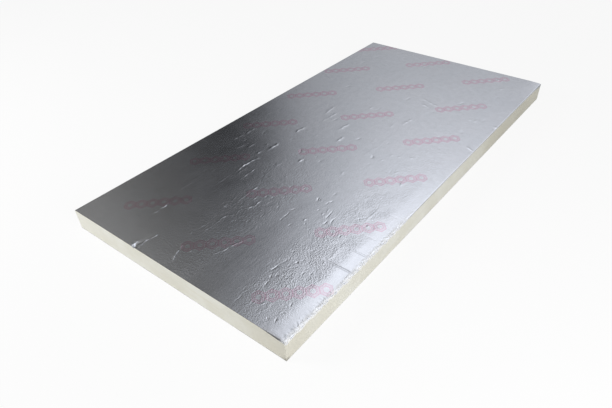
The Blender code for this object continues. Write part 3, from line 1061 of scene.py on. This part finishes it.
# Painted shade: a darker foam colour for the far half of the board, where less light falls
FOAM_SHADED = (0.600, 0.577, 0.480, 1.0)
FOAM_NEAR_CORNER_DARK = (0.640, 0.615, 0.525, 1.0)
FOAM_FOOT_DARK = (0.300, 0.290, 0.250, 1.0)
PALE_PATTERN = ((7.0, 4.0, 0.6), (0.35, 0.68))
SAW_STRETCH = (0.10, 0.10, 1.0)
SAW_PATTERN = ((60.0, 3.0), (0.52, 0.75, 0.0, 0.35))
PORE_SCALE = 520.0
PORE_STEP = (0.05, 0.55, 0.10, 0.0)
DARKER_TO_NEAR_CORNER = (0.02, 0.30, 0.62, 0.0)
WARM_ALONG = (0.20, 0.80, 0.0, 0.35)
SHADED_ALONG = ((0.25, 0.50, 0.0, 0.40), (0.90, 1.10, 1.0, 0.0))
DARK_FOOT_CORNER = (0.004, 0.026, 0.8, 0.0)
DARK_FOOT_HEIGHT = (0.004, 0.020, 1.0, 0.0)
FOAM_ROUGHNESS = 0.92
FOAM_SPECULAR = 0.25
FOAM_GRAIN = (170.0, 3.0, 0.6)
FOAM_GRAIN_BUMP = (0.0010, 0.45)
PORE_BUMP = (0.0006, 0.5)


def foam_material():
    material, n, shader = new_material("foam")
    position = n.add("ShaderNodeTexCoord").outputs["Object"]
    parts = n.separated(position)
    colour = n.mix_color(n.patches(position, *PALE_PATTERN), FOAM_COLOUR, FOAM_PALE)
    saw_lines = n.patches(n.stretched(position, SAW_STRETCH), *SAW_PATTERN)
    colour = n.mix_color(saw_lines, colour, FOAM_WARM)
    pores = n.add("ShaderNodeTexVoronoi", feature="F1", inputs={
        "Vector": position, "Scale": PORE_SCALE,
    }).outputs["Distance"]
    colour = n.mix_color(n.ramp(pores, *PORE_STEP), colour, FOAM_WARM)
    from_corner = n.math("SUBTRACT", n.math("ADD", parts["X"], parts["Y"]), NEAR_END + NEAR_EDGE)
    # Darker towards the near corner
    colour = n.mix_color(n.ramp(from_corner, *DARKER_TO_NEAR_CORNER), colour, FOAM_NEAR_CORNER_DARK)
    colour = n.mix_color(n.ramp(parts["X"], *WARM_ALONG), colour, FOAM_WARM)
    # Painted shade over the far half of the foam
    colour = n.mix_color(n.ramps(parts["X"], *SHADED_ALONG), colour, FOAM_SHADED)
    # Darker at the foot of the near corner, next to the floor
    dark_foot = n.product(n.ramp(from_corner, *DARK_FOOT_CORNER), n.ramp(parts["Z"], *DARK_FOOT_HEIGHT))
    colour = n.mix_color(dark_foot, colour, FOAM_FOOT_DARK)
    n.feed(shader.inputs["Base Color"], colour)
    shader.inputs["Roughness"].default_value = FOAM_ROUGHNESS
    shader.inputs["Specular IOR Level"].default_value = FOAM_SPECULAR
    normal = n.bump(n.noise(position, *FOAM_GRAIN), *FOAM_GRAIN_BUMP)
    n.feed(shader.inputs["Normal"], n.bump(pores, *PORE_BUMP, normal))
    return material


# Floor and lamps
FLOOR_HALF = 25.0
FLOOR_DROP = 0.0002
FLOOR_COLOUR = (0.93, 0.93, 0.93, 1.0)
FLOOR_ROUGHNESS = 0.9
FLOOR_SHOWN_WHITE = 0.88
WHITE = (1.0, 1.0, 1.0, 1.0)
KEY_PLACE = (-1.6, -3.0, 1.6)
KEY_TARGET = (-0.8, -0.6, 0.0)
KEY_POWER = 46
FILL_PLACE = (-3.2, 3.0, 1.8)
FILL_TARGET = (-1.2, 0.2, 0.0)
FILL_POWER = 82
LAMP_SIZE = 1.6


def ray_kinds(n):
    """1 for rays straight from the camera, and 1 for those that see things in metal or glass."""
    path = n.add("ShaderNodeLightPath").outputs
    mirrored = n.math("MAXIMUM", path["Is Glossy Ray"], path["Is Transmission Ray"])
    return path["Is Camera Ray"], mirrored


def build_floor():
    material, n, shader = new_material("pale_floor")
    shader.inputs["Base Color"].default_value = FLOOR_COLOUR
    shader.inputs["Roughness"].default_value = FLOOR_ROUGHNESS
    shader.inputs["Specular IOR Level"].default_value = 0.0
    white = n.add("ShaderNodeEmission", inputs={"Color": WHITE, "Strength": 1.0})
    mix = n.add("ShaderNodeMixShader")
    n.feed(mix.inputs[0], n.product(n.math("MAXIMUM", *ray_kinds(n)), FLOOR_SHOWN_WHITE))
    n.feed(mix.inputs[1], shader.outputs[0])
    n.feed(mix.inputs[2], white.outputs[0])
    n.feed(n.tree.nodes["Material Output"].inputs["Surface"], mix.outputs[0])
    rim = FLOOR_HALF * np.array([(-1, -1, 0), (1, -1, 0), (1, 1, 0), (-1, 1, 0)])
    floor = make_piece("floor", rim, [(0, 1, 2, 3)], material)
    floor.location.z = -FLOOR_DROP


def build_lamp(name, place, target, power):
    light = bpy.data.lights.new(name, "AREA")
    light.shape = "SQUARE"
    light.size = LAMP_SIZE
    light.energy = power
    lamp = bpy.data.objects.new(name, light)
    bpy.context.scene.collection.objects.link(lamp)
    lamp.location = place
    lamp.rotation_euler = (Vector(target) - Vector(place)).to_track_quat("-Z", "Y").to_euler()
    lamp.visible_glossy = False


# Studio that the foil mirrors: steps over azimuth or elevation, in degrees
CEILING_RISE = (15.9, 46.8, 0.382, 1.08)
CEILING_CROWN = (42.0, 56.0, 0.0, 0.20)
CEILING_FADE = (62.0, 80.0, 1.0, 0.58)
CEILING_SIDE = (7.0, 13.0, 1.30, 1.0)
SHADE_SPAN = ((36.0, 46.0), (58.0, 72.0, 1.0, 0.0))
SHADE_RISE = (30.0, 40.0, 0.0, 0.15)
HIGH_SHADE_SPAN = ((33.0, 44.0), (48.0, 58.0, 1.0, 0.0))
HIGH_SHADE_RISE = (43.0, 52.0, 0.0, 0.37)
TOP_SHADE_RISE = (48.0, 58.0, 0.0, 0.28)
BACKDROP_FADE = (2.0, 12.0, 0.90, 0.0)
FRONT_SPAN = ((-40.0, 0.0, 1.0, 0.0), (-180.0, -130.0))
FRONT_RISE = (12.0, 34.0, 0.50, 1.0)
FRONT_SIDE = (-110.0, -70.0, 0.75, 1.0)

# Unlit side of the studio: its start is given at one elevation and its top at one azimuth, and
# both shift by a slope away from there
UNLIT_START = (17.4, 54.2)
UNLIT_START_ELEVATION = 34.0
UNLIT_START_SLOPE = 0.599
UNLIT_TOP = (44.2, 58.2, 1.0, 0.0)
UNLIT_TOP_AZIMUTH = 50.0
UNLIT_TOP_SLOPE = 0.737
UNLIT_END = (95.0, 130.0, 1.0, 0.0)
UNLIT_FOOT = (0.0, 4.0)
UNLIT_DEPTH = (58.7, 67.4, 0.869, 0.712)
WARM_START = (47.0, 62.0)
WARM_COLOUR = (1.06, 1.02, 0.93, 1.0)

# Dark oval flag in it: azimuth and elevation of its middle, and how far it reaches
FLAG_MIDDLE = (48.8, 27.1)
FLAG_REACH = (10.1, 17.5)

# Light of the world on matt surfaces
DIFFUSE_WORLD = 0.42


def lit_studio(n, azimuth, elevation):
    """Levels of the ceiling, the backdrop and the front of the studio."""
    shade = n.product(n.ramps(azimuth, *SHADE_SPAN), n.ramp(elevation, *SHADE_RISE))
    high = n.product(n.ramps(azimuth, *HIGH_SHADE_SPAN), n.ramp(elevation, *HIGH_SHADE_RISE))
    high = n.math("ADD", high, n.ramp(elevation, *TOP_SHADE_RISE))
    ceiling = n.product(
        n.math("ADD", n.ramp(elevation, *CEILING_RISE), n.ramp(elevation, *CEILING_CROWN)),
        n.math("SUBTRACT", 1.0, n.math("MAXIMUM", shade, high)),
        n.ramp(azimuth, *CEILING_SIDE), n.ramp(elevation, *CEILING_FADE))
    front = n.product(
        n.ramps(azimuth, *FRONT_SPAN), n.ramp(elevation, *FRONT_RISE),
        n.ramp(azimuth, *FRONT_SIDE))
    backdrop = n.ramp(elevation, *BACKDROP_FADE)
    return n.math("MAXIMUM", n.math("MAXIMUM", ceiling, backdrop), front)


def unlit_side(n, azimuth, elevation):
    """1 in the unlit side of the studio and 0 outside it."""
    above = n.math("SUBTRACT", elevation, UNLIT_START_ELEVATION)
    turned = n.math("ADD", azimuth, n.product(above, UNLIT_START_SLOPE))
    past = n.math("SUBTRACT", azimuth, UNLIT_TOP_AZIMUTH)
    raised = n.math("SUBTRACT", elevation, n.product(past, UNLIT_TOP_SLOPE))
    return n.product(
        n.ramp(turned, *UNLIT_START), n.ramp(azimuth, *UNLIT_END), n.ramp(raised, *UNLIT_TOP),
        n.ramp(elevation, *UNLIT_FOOT))


def outside_flag(n, azimuth, elevation):
    offsets = [
        n.math("DIVIDE", n.math("SUBTRACT", angle, middle), reach)
        for angle, middle, reach in zip((azimuth, elevation), FLAG_MIDDLE, FLAG_REACH)]
    squares = [n.product(offset, offset) for offset in offsets]
    return n.ramp(n.math("SQRT", n.math("ADD", *squares)), 0.0, 1.0)


def build_world():
    """White where the camera sees it, a soft even light for matt surfaces, and for metal a
    studio: a white backdrop low down, a bright ceiling and an unlit side of the room."""
    world = bpy.data.worlds.new("studio")
    bpy.context.scene.world = world
    world.use_nodes = True
    world.cycles.sampling_method = "NONE"
    n = Nodes(world.node_tree)
    background = world.node_tree.nodes["Background"]
    parts = n.separated(n.add("ShaderNodeTexCoord").outputs["Generated"])
    azimuth = n.product(n.math("ARCTAN2", parts["Y"], parts["X"]), math.degrees(1))
    elevation = n.product(n.math("ARCSINE", parts["Z"]), math.degrees(1))
    unlit = unlit_side(n, azimuth, elevation)
    dimmed = n.math("SUBTRACT", 1.0, n.product(unlit, n.ramp(azimuth, *UNLIT_DEPTH)))
    studio = n.product(
        lit_studio(n, azimuth, elevation), dimmed, outside_flag(n, azimuth, elevation))
    camera, mirrored = ray_kinds(n)
    matt = n.product(n.math("SUBTRACT", 1.0, mirrored), DIFFUSE_WORLD)
    level = n.math("ADD", n.product(mirrored, studio), matt)
    level = n.math("ADD", camera, n.product(n.math("SUBTRACT", 1.0, camera), level))
    n.feed(background.inputs["Strength"], level)
    warm = n.product(unlit, mirrored, n.ramp(azimuth, *WARM_START))
    n.feed(background.inputs["Color"], n.mix_color(warm, WHITE, WARM_COLOUR))


def build_camera():
    data = bpy.data.cameras.new("camera")
    data.sensor_width = SENSOR_WIDTH
    data.lens = CAMERA_FOCAL_PIXELS * SENSOR_WIDTH / FRAME_WIDTH
    data.shift_x = CAMERA_SHIFT_PIXELS[0] / FRAME_WIDTH
    data.shift_y = CAMERA_SHIFT_PIXELS[1] / FRAME_WIDTH
    camera = bpy.data.objects.new("camera", data)
    bpy.context.scene.collection.objects.link(camera)
    turn = Matrix.Rotation(math.radians(CAMERA_AZIMUTH), 4, "Z")
    turn = turn @ Matrix.Rotation(math.radians(90 - CAMERA_ELEVATION), 4, "X")
    turn = turn @ Matrix.Rotation(math.radians(CAMERA_ROLL), 4, "Z")
    camera.matrix_world = Matrix.Translation(CAMERA_PLACE) @ turn
    bpy.context.scene.camera = camera


def main():
    build_camera()
    build_floor()
    build_world()
    build_lamp("key", KEY_PLACE, KEY_TARGET, KEY_POWER)
    build_lamp("fill", FILL_PLACE, FILL_TARGET, FILL_POWER)
    bpy.context.scene.view_settings.view_transform = "Standard"

    top_foil = build_top_foil(foil_material("printed_foil", True))
    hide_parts("top_foil_facing")
    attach(top_foil, "root")

    foam = build_foam(foam_material())
    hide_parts("foam_core")
    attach(foam, "root")

    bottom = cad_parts["bottom_foil_facing"]
    bottom.data.materials.clear()
    bottom.data.materials.append(foil_material("plain_foil", False))


main()
